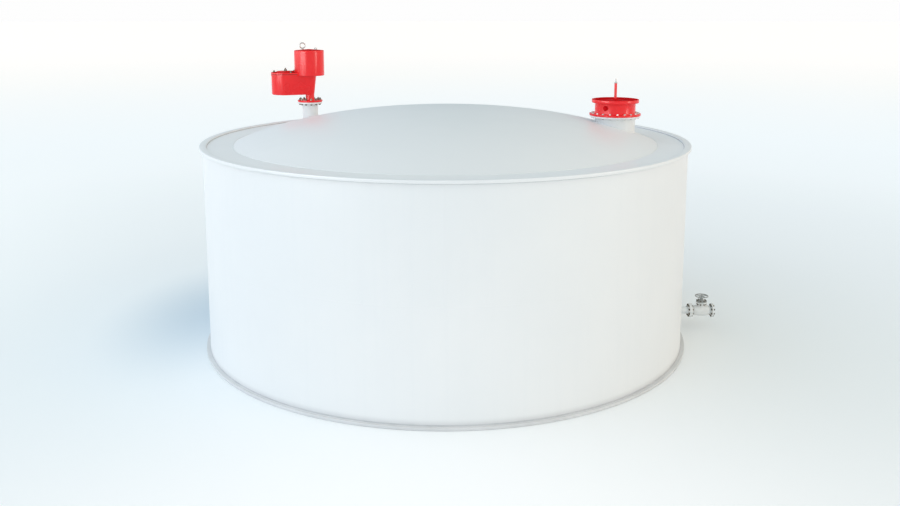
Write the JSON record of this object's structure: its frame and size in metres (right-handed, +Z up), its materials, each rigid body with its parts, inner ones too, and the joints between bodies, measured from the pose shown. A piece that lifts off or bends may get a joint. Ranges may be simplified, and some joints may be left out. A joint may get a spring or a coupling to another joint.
{
  "type": "vertical storage tank",
  "caption": "Flat-bottomed vertical welded steel storage tank with a low domed roof, a red breather valve, a red emergency relief vent and a side outlet valve.",
  "frame": {"origin": "centre of the tank's foot, on the underside of the bottom plate", "axes": "+Z up along the tank's axis, +X towards the side outlet"},
  "size_m": [7.8633, 7.316, 4.4145],
  "materials": {
    "white_paint": "smooth semi-gloss white paint",
    "red_paint": "smooth semi-gloss red paint",
    "grey_paint": "pale grey paint",
    "zinc_steel": "zinc plated, satin"
  },
  "bodies": {
    "tank": {"bottom_plate": "white_paint", "breather_arm_lid": "red_paint", "breather_body": "red_paint", "breather_hood": "red_paint", "breather_lifting_eye": "zinc_steel", "breather_nozzle": "white_paint", "breather_vacuum_cover": "red_paint", "foot_ring_1": "white_paint", "foot_ring_2": "white_paint", "foot_ring_3": "white_paint", "foot_ring_4": "white_paint", "outlet_nozzle": "white_paint", "relief_body": "red_paint", "relief_guide": "red_paint", "relief_nozzle": "white_paint", "relief_plug": "red_paint", "roof_crown": "white_paint", "roof_edge_1": "white_paint", "roof_edge_2": "white_paint", "roof_edge_3": "white_paint", "roof_edge_4": "white_paint", "roof_petal_1": "white_paint", "roof_petal_2": "white_paint", "roof_petal_3": "white_paint", "roof_petal_4": "white_paint", "roof_petal_5": "white_paint", "roof_petal_6": "white_paint", "shell_lower_1": "white_paint", "shell_lower_2": "white_paint", "shell_lower_3": "white_paint", "shell_lower_4": "white_paint", "shell_upper_1": "white_paint", "shell_upper_2": "white_paint", "shell_upper_3": "white_paint", "shell_upper_4": "white_paint", "top_curb_1": "white_paint", "top_curb_2": "white_paint", "top_curb_3": "white_paint", "top_curb_4": "white_paint", "valve_body": "grey_paint", "valve_bonnet": "grey_paint"},
    "relief_lid": {"relief_lid": "red_paint"},
    "handwheel": {"valve_handwheel": "grey_paint", "valve_stem": "zinc_steel"}
  },
  "joints": [
    {"name": "relief_lift", "type": "slide", "parent": "tank", "child": "relief_lid", "axis": [0, 0, 1], "range_m": [0, 0.15]},
    {"name": "handwheel_turn", "type": "hinge", "parent": "tank", "child": "handwheel", "pos_m": [4.0303, 0, 0.523], "axis": [0, 0, 1], "range_deg": [0, 1980]}
  ]
}
